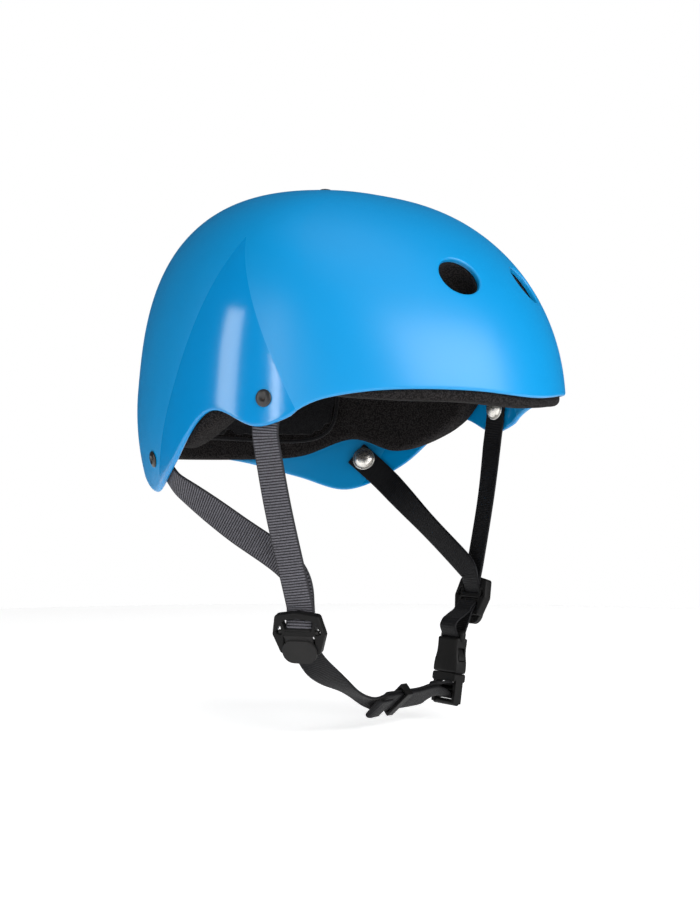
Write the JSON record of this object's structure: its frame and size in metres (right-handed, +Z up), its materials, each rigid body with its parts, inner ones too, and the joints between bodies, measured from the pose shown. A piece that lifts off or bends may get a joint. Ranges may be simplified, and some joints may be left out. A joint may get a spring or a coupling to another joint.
{
  "type": "water sports helmet",
  "caption": "Hard-shell water sports helmet with vents, foam liner and pads, riveted webbing harness, strap dividers with levers and a side-release chin buckle.",
  "frame": {"origin": "centre of the head opening, level with the brow, on the plane of symmetry of the shell", "axes": "front of the helmet faces -Y, the wearer's left is +X, up is +Z; the head enters along +Z"},
  "size_m": [0.211, 0.2538, 0.2901],
  "materials": {
    "shell": "satin moulded ABS with a glossy transfer on each side",
    "foam": "closed-cell EVA foam",
    "pad_fabric": "brushed knit over soft foam",
    "webbing": "ribbed woven polyester webbing",
    "hardware": "moulded acetal, fine texture",
    "lever": "moulded acetal, satin",
    "rivet_black": "black enamel, worn",
    "nickel": "nickel plate"
  },
  "bodies": {
    "helmet": {"outer_shell": "shell", "foam_liner": "foam", "brow_pad": "pad_fabric", "nape_pad": "pad_fabric", "left_side_pad": "pad_fabric", "right_side_pad": "pad_fabric", "crown_pad": "pad_fabric", "strap_rivets": "rivet_black", "rivet_caps": "nickel", "crown_rivet": "nickel", "strap_tabs": "webbing"},
    "right_harness": {"right_front_strap": "webbing", "right_rear_strap": "webbing", "right_divider_frame": "hardware"},
    "left_harness": {"left_front_strap": "webbing", "left_rear_strap": "webbing", "left_divider_frame": "hardware"},
    "right_lever": {"right_divider_lever": "lever"},
    "left_lever": {"left_divider_lever": "lever"},
    "chin_run": {"chin_strap": "webbing", "chin_strap_lead": "webbing", "chin_strap_tail": "webbing", "socket_loop_strap": "webbing", "buckle_socket": "hardware"},
    "keeper": {"strap_keeper": "hardware"},
    "plug": {"buckle_plug": "hardware"},
    "front_prong": {"front_prong": "hardware"},
    "rear_prong": {"rear_prong": "hardware"}
  },
  "joints": [
    {"name": "right_strap_sway", "type": "hinge", "parent": "helmet", "child": "right_harness", "pos_m": [-0.09276, 0.00464, -0.02637], "axis": [0.0612, 0.9826, -0.1754], "range_deg": [-8, 8]},
    {"name": "left_strap_sway", "type": "hinge", "parent": "helmet", "child": "left_harness", "pos_m": [0.09276, 0.00464, -0.02637], "axis": [-0.0612, 0.9826, -0.1754], "range_deg": [-9.1, 9.1]},
    {"name": "chin_strap_swing", "type": "hinge", "parent": "right_harness", "child": "chin_run", "pos_m": [-0.06785, -0.03216, -0.12366], "axis": [0, 1, 0], "range_deg": [-11.2, 11.2]},
    {"name": "right_lever_flip", "type": "hinge", "parent": "right_harness", "child": "right_lever", "pos_m": [-0.07444, -0.03431, -0.11472], "axis": [-0.309, 0.9511, 0], "range_deg": [0, 75]},
    {"name": "left_lever_flip", "type": "hinge", "parent": "left_harness", "child": "left_lever", "pos_m": [0.07444, -0.03431, -0.10372], "axis": [-0.309, -0.9511, 0], "range_deg": [0, 75]},
    {"name": "keeper_slide", "type": "slide", "parent": "chin_run", "child": "keeper", "axis": [1, 0, 0], "range_m": [-0.006, 0.008]},
    {"name": "buckle_pull", "type": "slide", "parent": "chin_run", "child": "plug", "axis": [-0.1324, 0.043, -0.9903], "range_m": [0, 0.022], "deforming": ["chin_strap_lead", "chin_strap_tail", "front_prong", "rear_prong"]},
    {"name": "rear_prong_squeeze", "type": "hinge", "parent": "plug", "child": "rear_prong", "pos_m": [0.0568, -0.02556, -0.14689], "axis": [0.9418, -0.306, -0.1392], "range_deg": [0, 12], "stiffness_Nm_per_rad": 0.03},
    {"name": "front_prong_squeeze", "type": "hinge", "parent": "plug", "child": "front_prong", "pos_m": [0.05296, -0.03736, -0.14689], "axis": [0.9418, -0.306, -0.1392], "range_deg": [-12, 0]}
  ],
  "couplings": [
    {"joint": "left_strap_sway", "follows": "right_strap_sway", "ratio": 1.131},
    {"joint": "chin_strap_swing", "follows": "right_strap_sway", "ratio": -1.397},
    {"joint": "front_prong_squeeze", "follows": "rear_prong_squeeze", "ratio": -1}
  ]
}
